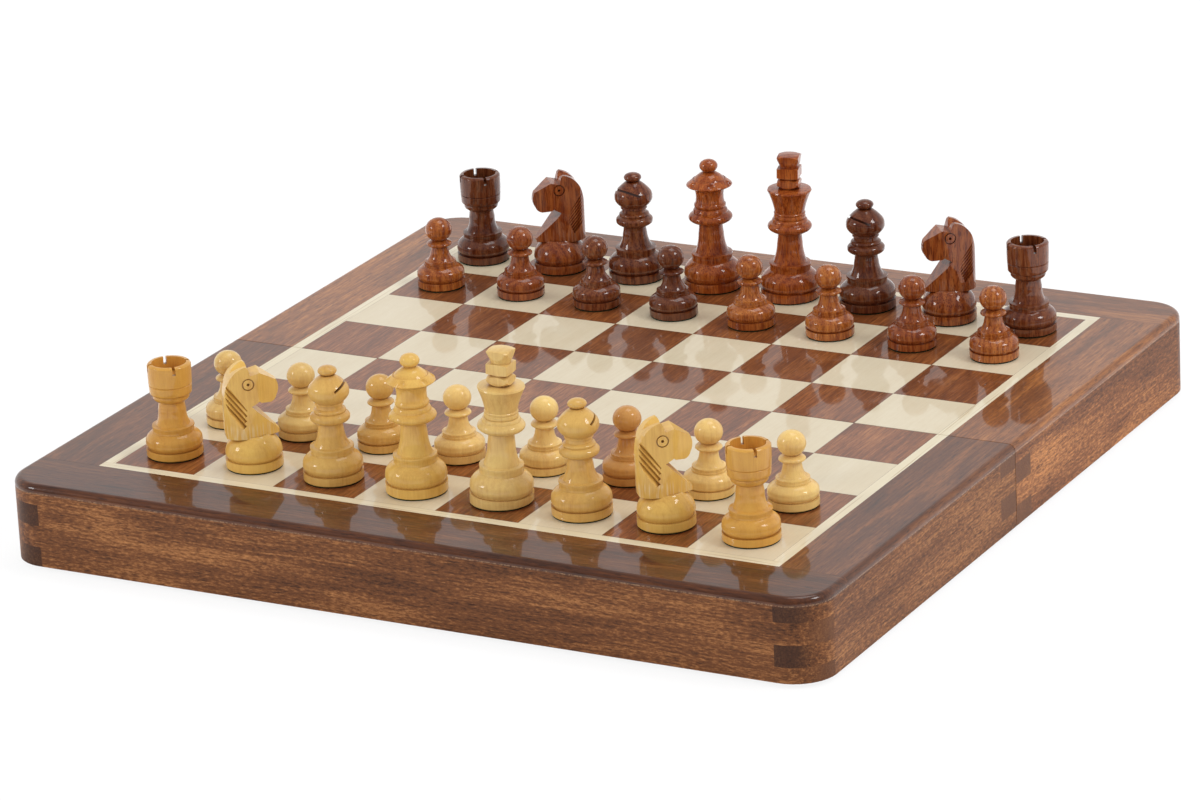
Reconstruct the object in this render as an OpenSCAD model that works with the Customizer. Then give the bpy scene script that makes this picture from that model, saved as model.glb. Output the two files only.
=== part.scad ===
// Folding chess box: two hinged halves that open into the playing board, and 32 men.
// The board lies open, playing side up. X runs along the ranks, Y from the light men to the dark.

/* [Playing surface] */
// Side of one square
square_side = 31; // [29:0.5:33]
// Width of the pale line around the squares
line_width = 4; // [3:0.5:5]
// Width of the dark border outside the pale line
border_width = 24.5; // [22:0.5:28]
// Thickness of the squares, the line and the border
top_thickness = 3; // [2.6:0.1:3.6]
// Radius of the rounded top edge
edge_radius = 2.4; // [1.4:0.1:2.6]
// Small cut at the corners of each square
corner_ease = 0.12; // [0.08:0.02:0.2]

/* [Box] */
// Height of one half, from its rim to the playing surface
half_height = 29; // [28:0.5:33]
// Thickness of the walls at the front and the back
outer_wall = 13; // [12:0.5:15]
// Thickness of the walls at the left and the right
side_wall = 15; // [14:0.5:17]
// Thickness of the two walls that meet at the seam
seam_wall = 12; // [11.5:0.5:14]
// Radius of the outer corners, seen from above
corner_radius = 14; // [10:0.5:14]
// Thickness of the panel under the squares
panel_thickness = 3; // [2:0.5:4]
// Gap between the two halves at the seam
seam_gap = 0.3; // [0.2:0.05:0.4]

/* [Finger joints] */
// Height of one finger
finger_height = 7.6; // [6.8:0.1:8]
// Height of the lowest finger at the left corners
left_start = 7; // [5:0.1:7.4]
// Height of the lowest finger at the right corners
right_start = 5.5; // [4:0.1:7]

/* [Hinges] */
// Length of one hinge
hinge_length = 32; // [26:1:40]
// Distance from the middle of the board to each hinge
hinge_place = 88; // [70:1:105]
// Width of one hinge leaf
leaf_width = 9; // [8:0.5:10]
// Thickness of one hinge leaf
leaf_thickness = 1.2; // [1:0.1:1.3]
// Diameter of the hinge knuckles
knuckle_diameter = 3; // [2.8:0.1:3.4]
// Gap between neighbouring knuckles
knuckle_gap = 0.2; // [0.1:0.05:0.4]
// Room around the knuckles in the wood and between the leaves
knuckle_room = 0.3; // [0.2:0.05:0.4]
// Diameter of the hinge pin
pin_diameter = 1.6; // [1.4:0.1:1.8]
// Running clearance around the pin, on the radius
pin_clearance = 0.05; // [0.03:0.01:0.08]
// Gap between the two rims when the box is shut
rim_gap = 0.2; // [0.1:0.05:0.3]
// Distance between the two screws of one leaf
screw_spacing = 20; // [14:1:22]
// Diameter of a screw head
screw_head = 4; // [3.4:0.1:4.4]
// Diameter of a screw shank
screw_shank = 1.9; // [1.6:0.1:2.2]
// Length of a screw
screw_length = 10; // [7:0.5:14]
// Width and depth of the slot in a screw head
screw_slot = 0.5; // [0.4:0.1:0.6]

/* [Catch magnets] */
// Diameter of a magnet
magnet_diameter = 8; // [6:0.5:10]
// Thickness of a magnet
magnet_thickness = 3; // [2:0.5:5]
// Distance from the middle of the board to each magnet
magnet_place = 95; // [60:1:115]
// Depth of a magnet's face below the rim
magnet_drop = 0.1; // [0.05:0.05:0.3]

/* [Tray] */
// Thickness of the felt lining
lining_thickness = 1; // [0.6:0.1:1.5]
// Length of a cell for a tall man
tall_cell = 58; // [56:0.5:62]
// Length of a cell for a pawn
pawn_cell = 32; // [29:0.5:36]
// Thickness of the ribs between the cells
rib_thickness = 8; // [5:0.5:9]
// Distance from the top of the ribs to the rim
rib_drop = 1; // [0.5:0.1:2]
// Gap between the covered ribs and rails
cover_gap = 0.3; // [0.2:0.05:0.5]

/* [Men] */
// Thickness of the felt under a man
felt_thickness = 0.4; // [0.3:0.1:1]
// Hairline between the felt and the wood
glue_line = 0.05; // [0.02:0.01:0.1]
// How far the felt stays inside the foot
felt_inset = 0.4; // [0.2:0.1:0.8]
// How far behind their squares' centres the light officers stand
light_officer_shift = -0.3; // [-2:0.1:2]
// How far behind their squares' centres the light pawns stand
light_pawn_shift = 0.8; // [-3:0.1:3]
// How far behind their squares' centres the dark pawns stand
dark_pawn_shift = 0.9; // [-3:0.1:4]
// How far behind their squares' centres the dark officers stand
dark_officer_shift = 2.3; // [-3:0.1:4]

/* [King] */
// Height over all
king_height = 53.7; // [50:0.1:58]
// Diameter of the foot
king_foot = 21.3; // [20:0.1:22.5]
// Height of the base, up to the top of its ring
king_base = 13.3; // [12:0.1:15]
// Diameter of the ring on the base
king_ring = 15; // [14:0.1:16]
// Diameter of the neck at its narrowest
king_neck = 8.5; // [7.5:0.1:9.5]
// Height of the underside of the collar
king_collar_level = 24.4; // [22:0.1:26]
// Diameter of the collar
king_collar = 15.8; // [14.5:0.1:17]
// Height of the underside of the crown
king_crown_level = 32.4; // [31.6:0.1:34]
// Diameter of the crown
king_crown = 16; // [15:0.1:17.5]
// Height of the crown
king_crown_height = 8.4; // [7:0.1:9.4]
// Side of the square finial
king_finial = 7.7; // [6.6:0.1:8.4]

/* [Queen] */
// Height over all
queen_height = 48.2; // [46:0.1:50]
// Diameter of the foot
queen_foot = 20.8; // [20:0.1:22]
// Height of the base, up to the top of its ring
queen_base = 13.4; // [12:0.1:15]
// Diameter of the ring on the base
queen_ring = 14.9; // [14:0.1:16]
// Diameter of the neck at its narrowest
queen_neck = 8.5; // [7.5:0.1:9.5]
// Height of the underside of the collar
queen_collar_level = 24.3; // [22:0.1:26]
// Diameter of the collar
queen_collar = 15.9; // [14.5:0.1:17]
// Height of the coronet's edge
queen_coronet_level = 38.9; // [38:0.1:40]
// Diameter of the coronet
queen_coronet = 16.6; // [15.5:0.1:17.6]
// Diameter of the ball on top
queen_ball = 6.7; // [5.8:0.1:7.2]
// Number of scoops in the coronet
coronet_scoops = 6; // [5:1:8]

/* [Bishop] */
// Height over all
bishop_height = 39.9; // [38.6:0.1:42]
// Diameter of the foot
bishop_foot = 20.3; // [19.5:0.1:21.5]
// Height of the base, up to the top of its ring
bishop_base = 12; // [11:0.1:13]
// Diameter of the ring on the base
bishop_ring = 14.8; // [14:0.1:16]
// Diameter of the neck at its narrowest
bishop_neck = 8.1; // [7.4:0.1:9]
// Height of the underside of the collar
bishop_collar_level = 20; // [18.6:0.1:20.8]
// Diameter of the collar
bishop_collar = 13.3; // [12.4:0.1:14.4]
// Diameter of the head
bishop_head = 13.8; // [12.6:0.1:15]
// Diameter of the button on top
bishop_button = 6.4; // [5.6:0.1:7]
// Width of the slot in the head
bishop_slot = 0.8; // [0.6:0.1:1.2]

/* [Knight] */
// Height over all
knight_height = 36.6; // [35.8:0.1:38.4]
// Diameter of the foot
knight_foot = 19.4; // [18.6:0.1:20.6]
// Height of the turned base
knight_base = 12; // [11:0.1:13]
// Length of the head from mane to muzzle
knight_length = 18.4; // [17:0.1:19.6]
// Thickness of the head at its foot
knight_thickness = 11.6; // [10:0.1:13]
// Width of a groove in the mane, at 1 mm of depth
mane_groove = 1.4; // [1:0.1:1.6]
// Diameter of the ring around the eye
knight_eye = 4.2; // [3.4:0.1:4.6]

/* [Rook] */
// Height over all
rook_height = 33; // [31.5:0.1:35]
// Diameter of the foot
rook_foot = 19.3; // [18.5:0.1:20.5]
// Height of the base, up to the top of its ring
rook_base = 11; // [10:0.1:12]
// Diameter of the ring on the base
rook_ring = 14.4; // [13.4:0.1:15.4]
// Diameter of the neck at its narrowest
rook_neck = 8.8; // [8:0.1:9.6]
// Height of the underside of the turret's collar
rook_collar_level = 19.3; // [18:0.1:20]
// Diameter of the turret
rook_turret = 14.9; // [13.8:0.1:15.6]
// Thickness of the turret's wall
turret_wall = 1.6; // [1.1:0.1:2.2]
// Depth of the turret's cup
turret_depth = 5; // [3.5:0.1:6.5]
// Width of the saw cuts across the turret
turret_cut = 1.05; // [0.8:0.05:1.4]

/* [Pawn] */
// Height over all
pawn_height = 25.9; // [24.9:0.1:27.4]
// Diameter of the foot
pawn_foot = 17.3; // [16.5:0.1:18.5]
// Height of the base, up to the top of its steps
pawn_base = 9.9; // [9:0.1:10.6]
// Diameter of the steps on the base
pawn_ring = 11.8; // [11:0.1:12.6]
// Diameter of the neck at its narrowest
pawn_neck = 6; // [5.2:0.1:6.8]
// Height of the underside of the collar
pawn_collar_level = 15.2; // [14.2:0.1:15.8]
// Diameter of the collar
pawn_collar = 9.1; // [8.4:0.1:9.8]
// Diameter of the head
pawn_head = 9.6; // [9:0.1:10.2]

/* [Hidden] */
$fn = 96;
board = 8 * square_side + 2 * (line_width + border_width);
half_board = board / 2;
field = 4 * square_side;
edge = seam_gap / 2;
knuckle_radius = knuckle_diameter / 2;
axis_drop = rim_gap / 2;
rim = knuckle_radius + axis_drop;
axis_height = rim - axis_drop;
surface = rim + half_height;
wall_top = surface - top_thickness;
wall_height = half_height - top_thickness;
panel_low = wall_top - panel_thickness;
inner_x = half_board - side_wall;
inner_front = half_board - outer_wall;
inner_seam = edge + seam_wall;
inner_depth = inner_front - inner_seam;
lining_low = panel_low - lining_thickness;
rib_low = rim + rib_drop;
rib_height = lining_low - rib_low;
column = (2 * inner_x - rib_thickness) / 8;
rail = (inner_depth - tall_cell - pawn_cell) / 3;
pin_radius = pin_diameter / 2;
segment = hinge_length / 5;
leaf_back = edge + leaf_width;
leaf_edge = knuckle_radius + knuckle_room;
screw_line = (leaf_back + leaf_edge) / 2;
head_depth = (screw_head - screw_shank) / 2;
outside = 1;

light_wood = [0.85, 0.68, 0.40];
dark_wood = [0.45, 0.22, 0.12];
walnut = [0.42, 0.27, 0.18];
maple = [0.90, 0.83, 0.68];
ply = [0.76, 0.62, 0.43];
brass = [0.80, 0.62, 0.27];
steel = [0.70, 0.70, 0.72];
felt_green = [0.05, 0.30, 0.20];

// ---- Shared shapes of the box; each is drawn for the front half ----

// Outline of one half seen from above, rounded at its two outer corners
module half_outline() {
  straight = board - 2 * corner_radius;
  translate([-straight / 2, -half_board])
    square([straight, half_board - edge]);
  translate([-half_board, -half_board + corner_radius])
    square([board, half_board - corner_radius - edge]);
  for (side = [-1, 1])
    translate([side * straight / 2, -half_board + corner_radius])
      circle(corner_radius);
}

// A block between two corners given as [x, y, z]
module block(low, high) {
  translate(low)
    cube(high - low);
}

// The waste outside a rounded edge: its corner at the origin, the wood towards +X and -Y
module edge_waste() {
  difference() {
    translate([-outside, -edge_radius])
      square(edge_radius + outside);
    translate([edge_radius, -edge_radius])
      circle(edge_radius);
  }
}

// The full top of one half with its rounded outer edge
module rounded_top() {
  long = board + 2 * outside;
  centre = half_board - corner_radius;
  difference() {
    translate([0, 0, wall_top])
      linear_extrude(top_thickness)
        half_outline();
    translate([-long / 2, -half_board, surface])
      rotate([90, 0, 90])
        linear_extrude(long)
          edge_waste();
    for (side = [-1, 1])
      translate([side * half_board, long / 2, surface])
        mirror([side > 0 ? 1 : 0, 0, 0])
          rotate([90, 0, 0])
            linear_extrude(long + half_board)
              edge_waste();
    for (side = [-1, 1])
      mirror([side > 0 ? 1 : 0, 0, 0])
        translate([-centre, -centre, surface])
          rotate([0, 0, 180])
            rotate_extrude(angle = 90)
              translate([corner_radius, 0])
                mirror([1, 0])
                  edge_waste();
  }
}

module border_strips() {
  outer = half_board + outside;
  inner = half_board - border_width;
  top = surface + outside;
  intersection() {
    rounded_top();
    union() {
      block([-outer, -outer, rim], [outer, -inner, top]);
      for (side = [-1, 1])
        mirror([side > 0 ? 1 : 0, 0, 0])
          block([-outer, -inner + glue_line, rim], [-inner, 0, top]);
    }
  }
}

module pale_line() {
  outer = field + line_width;
  block([-outer, -outer, wall_top], [outer, -field, surface]);
  for (side = [-1, 1])
    mirror([side > 0 ? 1 : 0, 0, 0])
      block([-outer, -field + glue_line, wall_top], [-field, -edge, surface]);
}

// One square with its corners eased, cut back at the seam
module one_square(depth) {
  s = square_side;
  c = corner_ease;
  linear_extrude(top_thickness)
    polygon([
      [c, 0], [s - c, 0], [s, c], [s, depth - c],
      [s - c, depth], [c, depth], [0, depth - c], [0, c]
    ]);
}

module squares(dark) {
  for (rank = [0 : 3])
    for (file = [0 : 7])
      if ((rank + file) % 2 == (dark ? 0 : 1))
        translate([(file - 4) * square_side, (rank - 4) * square_side, wall_top])
          one_square(rank == 3 ? square_side - edge : square_side);
}

// One band of fingers: the band number counts from the rim
function band_low(start, band) = rim + (band == 0 ? -outside : start + (band - 1) * finger_height);
function band_high(start, band) = rim + start + band * finger_height;

// Space of the fingers with the same parity, at the left or right end of a wall
module finger_bands(start, parity, low, high) {
  for (band = [parity : 2 : 5])
    block([low[0], low[1], band_low(start, band)], [high[0], high[1], band_high(start, band)]);
}

module wall_outline() {
  translate([0, 0, rim])
    linear_extrude(wall_height)
      half_outline();
}

// Fingers of the side walls where they pass through the outer wall
module front_corner_fingers() {
  far = half_board + outside;
  finger_bands(left_start, 0, [-far, -far], [-inner_x, -inner_front]);
  finger_bands(right_start, 1, [inner_x, -far], [far, -inner_front]);
}

// Fingers of the side walls where they pass through the seam wall
module seam_corner_fingers() {
  far = half_board + outside;
  finger_bands(left_start, 1, [-far, -inner_seam], [-inner_x, outside]);
  finger_bands(right_start, 0, [inner_x, -inner_seam], [far, outside]);
}

module outer_wall_board() {
  difference() {
    intersection() {
      wall_outline();
      block([-board, -board, 0], [board, -inner_front, surface]);
    }
    front_corner_fingers();
    for (side = [-1, 1])
      translate([side * magnet_place, -(half_board + inner_front) / 2, rim - outside])
        cylinder(h = outside + magnet_drop + magnet_thickness, d = magnet_diameter);
  }
}

module side_wall_boards() {
  far = half_board + outside;
  intersection() {
    wall_outline();
    union() {
      for (side = [-1, 1])
        mirror([side > 0 ? 1 : 0, 0, 0])
          block([-far, -inner_front, 0], [-inner_x, -inner_seam, surface]);
      front_corner_fingers();
      seam_corner_fingers();
    }
  }
}

module seam_wall_board() {
  difference() {
    block([-half_board, -inner_seam, rim], [half_board, -edge, wall_top]);
    seam_corner_fingers();
    for (side = [-1, 1])
      translate([side * hinge_place, 0, 0])
        hinge_mortise();
  }
}

// ---- Hinges; the axis runs along X at y = 0 ----

module along_axis(length) {
  translate([-length / 2, 0, axis_height])
    rotate([0, 90, 0])
      linear_extrude(length)
        children();
}

// The wood that is cut away for one hinge in the front half
module hinge_mortise() {
  block([-hinge_length / 2, -leaf_back, rim - outside], [hinge_length / 2, outside, rim + leaf_thickness]);
  along_axis(hinge_length)
    circle(leaf_edge);
  for (side = [-1, 1])
    translate([side * screw_spacing / 2, -screw_line, 0])
      screw_body();
}

module screw_body() {
  translate([0, 0, rim]) {
    cylinder(h = head_depth, d1 = screw_head, d2 = screw_shank);
    cylinder(h = screw_length - screw_shank, d = screw_shank);
    translate([0, 0, screw_length - screw_shank])
      cylinder(h = screw_shank, d1 = screw_shank, d2 = screw_shank / 5);
  }
}

module screw_pair() {
  for (side = [-1, 1])
    translate([side * screw_spacing / 2, -screw_line, 0])
      difference() {
        screw_body();
        translate([-screw_slot / 2, -screw_head, rim - outside])
          cube([screw_slot, 2 * screw_head, outside + screw_slot]);
      }
}

// One knuckle with the web that joins it to its leaf
module knuckle(number) {
  length = segment - knuckle_gap;
  translate([(number - 2) * segment, 0, 0]) {
    along_axis(length)
      circle(knuckle_radius);
    block([-length / 2, -leaf_edge, rim], [length / 2, -knuckle_radius / 2, rim + leaf_thickness]);
  }
}

// Front leaves carry the knuckles 0, 2 and 4, rear leaves 1 and 3
module hinge_leaf(first) {
  bore = pin_radius + (first == 0 ? 0 : pin_clearance);
  difference() {
    union() {
      block([-hinge_length / 2, -leaf_back, rim], [hinge_length / 2, -leaf_edge, rim + leaf_thickness]);
      for (number = [first : 2 : 4])
        knuckle(number);
    }
    along_axis(hinge_length + outside)
      circle(bore);
    for (side = [-1, 1])
      translate([side * screw_spacing / 2, -screw_line, 0])
        screw_body();
  }
}

module both_hinges() {
  for (side = [-1, 1])
    translate([side * hinge_place, 0, 0])
      children();
}

// ---- Inside of one half ----

module lining_sheet() {
  block([-inner_x, -inner_front, lining_low], [inner_x, -inner_seam, panel_low]);
}

// Ribs along Y between the cells of one row, from y = low to y = high
module rib_row(low, high) {
  for (number = [0 : 8])
    translate([-inner_x + number * column, 0, 0])
      block([0, low + cover_gap, rib_low], [rib_thickness, high - cover_gap, lining_low]);
}

module tray_frame() {
  tall_low = -inner_front + rail;
  tall_high = tall_low + tall_cell;
  pawn_low = tall_high + rail;
  pawn_high = pawn_low + pawn_cell;
  block([-inner_x, -inner_front, rib_low], [inner_x, tall_low, lining_low]);
  block([-inner_x, tall_high, rib_low], [inner_x, pawn_low, lining_low]);
  block([-inner_x, pawn_high, rib_low], [inner_x, -inner_seam, lining_low]);
  rib_row(tall_low, tall_high);
  rib_row(pawn_low, pawn_high);
}

module magnet_pair() {
  for (side = [-1, 1])
    translate([side * magnet_place, -(half_board + inner_front) / 2, rim + magnet_drop])
      cylinder(h = magnet_thickness, d = magnet_diameter);
}

module rear() {
  rotate([0, 0, 180])
    children();
}

// ---- Turned men: outlines are walked as [radius, height, bow of the line that leads there] ----

function walk(path, steps = 6) = [
  for (i = [0 : len(path) - 1])
    let (
      from = path[max(i - 1, 0)],
      to = path[i],
      bow = len(to) > 2 ? to[2] : 0,
      count = bow == 0 ? 1 : steps
    )
    for (k = [1 : count])
      let (t = k / count)
      [from[0] + (to[0] - from[0]) * t + 4 * bow * t * (1 - t), from[1] + (to[1] - from[1]) * t]
];

// The bottom of a foot with its eased edge, lower by a given allowance
function sole_path(foot, below) = [
  [0, felt_thickness - below],
  [foot / 2 - 0.3, felt_thickness - below],
  [foot / 2, felt_thickness + 0.3 - below]
];

// The foot, its groove, the swell and the ring that all men but the pawn share
function base_path(foot, height, ring, below = 0) = concat(sole_path(foot, below), [
  [foot / 2, height * 0.28],
  [foot / 2 - 0.7, height * 0.285],
  [foot / 2 - 0.55, height * 0.32],
  [foot / 2 - 0.1, height * 0.5, 0.3],
  [ring / 2 + 0.1, height * 0.79, 0.75],
  [ring / 2 - 0.15, height * 0.8],
  [ring / 2 - 0.25, height * 0.88],
  [ring / 2, height * 0.96],
  [ring / 2 - 0.1, height]
]);

// The neck rises from the ring to the collar with a hollow line
function neck_path(ring, height, neck, level) = [
  [ring / 2 - 1.4, height + 0.25, -0.15],
  [neck / 2 + 0.35, (height + 2 * level) / 3, -0.35],
  [neck / 2, level, -0.06]
];

// A rounded collar from its underside up to the ring above
function collar_path(neck, collar, top, low, high) = [
  [neck / 2 + 0.4, low],
  [collar / 2, (low + high) / 2, 0.7],
  [top / 2, high, 0.55]
];

// A flattened ball of a given radius around a height, from a starting height up to the axis
function ball_path(radius, centre, half, start) = [
  for (a = [asin((start - centre) / half) : 10 : 89])
    [radius * cos(a), centre + half * sin(a)],
  [0, centre + half]
];

module turned(path, steps = 6) {
  rotate_extrude()
    polygon(walk(path, steps));
}

// What a crooked man's sole must be lowered by before it is cut flat
function sole_allowance(lean) = lean == 0 ? 0 : 1;

// Leans a man's wood by some degrees towards +X while its foot still stands flat
module crooked(lean, foot, height) {
  if (lean == 0)
    children();
  else
    intersection() {
      translate([0, 0, felt_thickness])
        rotate([0, lean, 0])
          translate([0, 0, -felt_thickness])
            children();
      rotate([0, 0, 90])
        turned(concat(sole_path(foot, 0), [
          [foot / 2 + 3, felt_thickness + 3.3],
          [foot / 2 + 3, height + 3],
          [0, height + 3]
        ]));
    }
}

module felt_disc(foot) {
  cylinder(h = felt_thickness - glue_line, d = foot - 2 * felt_inset);
}

module king(lean = 0) {
  collar_top = king_collar_level + 4.2;
  crown_top = king_crown_level + king_crown_height;
  finial_low = crown_top + 0.5;
  unit = (king_height - finial_low) / 12;
  half = king_finial / 2;
  reach = king_finial * 0.68;
  waist = king_finial * 0.44;
  crooked(lean, king_foot, king_height) {
    turned(concat(
      base_path(king_foot, king_base, king_ring, sole_allowance(lean)),
      neck_path(king_ring, king_base, king_neck, king_collar_level),
      collar_path(king_neck, king_collar, king_collar - 2.8, king_collar_level, collar_top),
      [
        [king_collar / 2 - 1.9, collar_top + 1.2, 0.15],
        [king_collar / 2 - 2.3, collar_top + 1.3],
        [king_collar / 2 - 2.2, collar_top + 2.4, 0.1],
        [king_crown / 2 - 2.5, king_crown_level - 0.9],
        [king_crown / 2 - 2.6, king_crown_level, 0.25],
        [king_crown / 2 - 0.05, crown_top - 0.5, -0.3],
        [king_crown / 2 - 0.3, crown_top],
        [3, finial_low, 0.1],
        [0, finial_low]
      ]
    ));
    intersection() {
      turned([
        [0, crown_top - 0.5],
        [waist, crown_top - 0.5],
        [waist, finial_low],
        [reach, finial_low + unit * 1.8, 0.35],
        [waist, finial_low + unit * 3.4, 0.35],
        [waist, finial_low + unit * 3.8],
        [reach, finial_low + unit * 4],
        [reach, finial_low + unit * 7.2],
        [waist, finial_low + unit * 7.5],
        [waist, finial_low + unit * 7.9],
        [reach * 0.97, finial_low + unit * 11.2],
        [reach * 0.7, finial_low + unit * 11.7, 0.1],
        [0, king_height, 0.25]
      ]);
      translate([-half, -half, 0])
        cube([king_finial, king_finial, king_height + outside]);
    }
  }
  felt_disc(king_foot);
}

module queen() {
  collar_top = queen_collar_level + 4.3;
  level = queen_coronet_level;
  half_ball = queen_ball * 0.36;
  centre = queen_height - half_ball;
  difference() {
    turned(concat(
      base_path(queen_foot, queen_base, queen_ring),
      neck_path(queen_ring, queen_base, queen_neck, queen_collar_level),
      collar_path(queen_neck, queen_collar, queen_collar - 3.3, queen_collar_level, collar_top),
      [
        [queen_collar / 2 - 2.1, collar_top + 1.4, 0.15],
        [queen_collar / 2 - 2.6, collar_top + 1.8],
        [queen_collar / 2 - 2.6, collar_top + 3.6, 0.45],
        [queen_collar / 2 - 2.7, collar_top + 3.8],
        [queen_coronet / 2 - 2.9, level - 1.8, -0.3],
        [queen_coronet / 2 - 0.2, level - 0.3, -0.2],
        [queen_coronet / 2, level],
        [queen_coronet / 2 - 0.2, level + 0.4],
        [queen_coronet / 2 - 2.3, level + 2.1],
        [queen_coronet / 2 - 2.6, level + 1.9],
        [queen_ball * 0.3, centre - half_ball * 0.8 - 0.1, 0.45]
      ],
      ball_path(queen_ball / 2, centre, half_ball, centre - half_ball * 0.8)
    ));
    for (k = [0 : coronet_scoops - 1])
      rotate([0, 0, k * 360 / coronet_scoops])
        translate([queen_coronet / 2 + 0.15, 0, level + 2])
          sphere(2.2);
  }
  felt_disc(queen_foot);
}

module bishop() {
  collar_top = bishop_collar_level + 3.9;
  half_button = bishop_button * 0.27;
  centre = bishop_height - half_button;
  head = bishop_head / 2;
  lip = collar_top + 3.5;
  slot_slope = 29;
  difference() {
    turned(concat(
      base_path(bishop_foot, bishop_base, bishop_ring),
      neck_path(bishop_ring, bishop_base, bishop_neck, bishop_collar_level),
      collar_path(bishop_neck, bishop_collar, bishop_collar - 2.7, bishop_collar_level, collar_top),
      [
        [bishop_collar / 2 - 1.7, collar_top + 1.2, 0.35],
        [bishop_neck / 2 + 0.4, collar_top + 1.5],
        [bishop_neck / 2 + 0.3, lip - 0.8],
        [bishop_neck / 2 + 0.8, lip - 0.6],
        [bishop_neck / 2 + 0.6, lip],
        [head, lip + 3.8, 0.75],
        [head - 0.5, lip + 5.6, 0.15],
        [bishop_button / 2 - 0.7, centre - half_button * 0.85, 0.3]
      ],
      ball_path(bishop_button / 2, centre, half_button, centre - half_button * 0.8)
    ));
    translate([0, -head * 0.3, lip + 4.9])
      rotate([-slot_slope, 0, 0])
        translate([-head - outside, -2 * head, -bishop_slot / 2])
          cube([2 * (head + outside), 2 * head, bishop_slot]);
  }
  felt_disc(bishop_foot);
}

module rook() {
  radius = rook_turret / 2;
  low = rook_collar_level;
  difference() {
    turned(concat(
      base_path(rook_foot, rook_base, rook_ring),
      neck_path(rook_ring, rook_base, rook_neck, low),
      [
        [rook_neck / 2 + 0.2, low + 0.1],
        [radius - 1.25, low + 1.5, 0.25],
        [radius - 1.2, low + 2.7],
        [radius - 0.8, low + 2.8],
        [radius - 0.3, low + 3.4, 0.1],
        [radius - 0.15, low + 6],
        [radius - 0.35, low + 6.2],
        [radius - 0.1, low + 6.5],
        [radius, low + 9],
        [radius, rook_height - 0.7],
        [radius - 0.6, rook_height, 0.12],
        [0, rook_height]
      ]
    ));
    translate([0, 0, rook_height - turret_depth])
      cylinder(h = turret_depth + outside, r = radius - turret_wall);
    for (turn = [45, 135])
      rotate([0, 0, turn])
        translate([-radius - outside, -turret_cut / 2, rook_height - 2.6])
          cube([2 * (radius + outside), turret_cut, 2.6 + outside]);
  }
  felt_disc(rook_foot);
}

module pawn(lean = 0) {
  half_head = pawn_head * 0.46;
  centre = pawn_height - half_head;
  collar_top = pawn_collar_level + 2.1;
  crooked(lean, pawn_foot, pawn_height)
    turned(concat(
      sole_path(pawn_foot, sole_allowance(lean)),
      [
        [pawn_foot / 2, pawn_base * 0.31],
        [pawn_foot / 2 - 0.6, pawn_base * 0.315],
        [pawn_foot / 2 - 0.45, pawn_base * 0.35],
        [pawn_foot / 2 - 0.1, pawn_base * 0.54, 0.25],
        [pawn_ring / 2 + 0.3, pawn_base * 0.82, 0.75],
        [pawn_ring / 2, pawn_base * 0.83],
        [pawn_ring / 2, pawn_base * 0.9],
        [pawn_ring / 2 - 0.25, pawn_base * 0.91],
        [pawn_ring / 2 - 0.2, pawn_base],
        [pawn_ring / 2 - 1.1, pawn_base + 0.2, -0.1],
        [pawn_neck / 2 + 0.3, (pawn_base + 2 * pawn_collar_level) / 3, -0.3],
        [pawn_neck / 2, pawn_collar_level],
        [pawn_neck / 2 + 0.3, pawn_collar_level + 0.1],
        [pawn_collar / 2, (pawn_collar_level + collar_top) / 2, 0.35],
        [pawn_neck / 2 + 0.3, collar_top, 0.3]
      ],
      ball_path(pawn_head / 2, centre, half_head, centre - half_head * 0.84)
    ));
  felt_disc(pawn_foot);
}

// A curved stretch of an outline from a to b, pulled towards c
function curve(a, c, b, steps) = [
  for (k = [0 : steps])
    let (t = k / steps)
    (1 - t) * (1 - t) * a + 2 * t * (1 - t) * c + t * t * b
];

// Side outline of the knight's head in shares of its length and height, muzzle towards +X
knight_outline = concat(
  [[0.473, 0], [0.489, 0.05], [-0.02, 0.44], [0.13, 0.502], [0.168, 0.478]],
  curve([0.35, 0.455], [0.44, 0.462], [0.465, 0.525], 4),
  curve([0.465, 0.525], [0.555, 0.63], [0.475, 0.75], 6),
  [[0.165, 0.9], [-0.005, 0.869], [-0.045, 0.97]],
  curve([-0.088, 1], [-0.49, 0.935], [-0.51, 0.5], 10),
  [[-0.515, 0.12], [-0.495, 0]]
);

// Half of the head's outline seen from above, in shares of its length and half thickness
knight_plan = [
  [0.52, 0.16], [0.26, 0.6], [0.05, 0.9], [-0.16, 1], [-0.31, 0.93],
  [-0.42, 0.74], [-0.5, 0.42], [-0.53, 0]
];

// One groove of the mane: a V whose bottom rises out of the side as it runs down and forward
module mane_cut(level, slope, length, start, opening) {
  translate([-knight_length * 0.484, start, level])
    rotate([0, 90 + slope, 14])
      linear_extrude(length)
        polygon([[0, 0], [3 * opening, 3], [-3 * opening, 3]]);
}

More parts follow.
